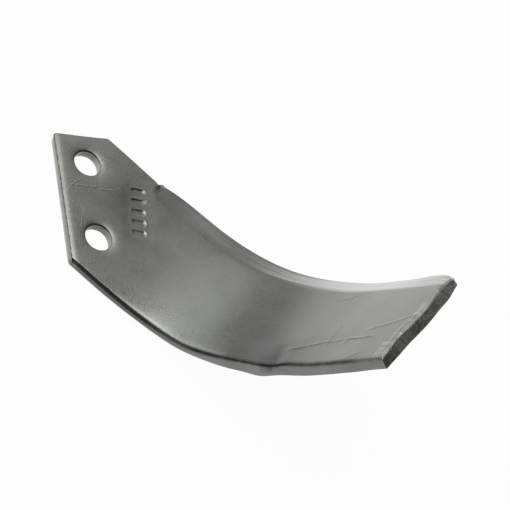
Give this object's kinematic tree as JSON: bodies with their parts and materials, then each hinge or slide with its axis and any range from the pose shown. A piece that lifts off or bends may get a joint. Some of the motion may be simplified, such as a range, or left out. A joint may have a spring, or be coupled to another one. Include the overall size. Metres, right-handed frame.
{
  "type": "rotary tiller blade",
  "caption": "Bent rotary tiller blade of flat forged bar, with a bevelled cutting edge that sweeps up out of its flat bolted mounting end.",
  "frame": {"origin": "middle of the bolt holes on the mounting face, which is the convex side of the blade", "axes": "+Z out of the mounting face through the steel, towards the side that the blade bends to; +Y along the line of the holes, away from the blade's lower corner; +X from the holes towards the blade"},
  "size_m": [0.1823, 0.1842, 0.1092],
  "materials": {
    "lacquered_steel": "clear dark lacquer over forging scale, satin, grey, scuffed on the cutting edge"
  },
  "bodies": {
    "root": {"tiller_blade": "lacquered_steel"}
  },
  "joints": []
}
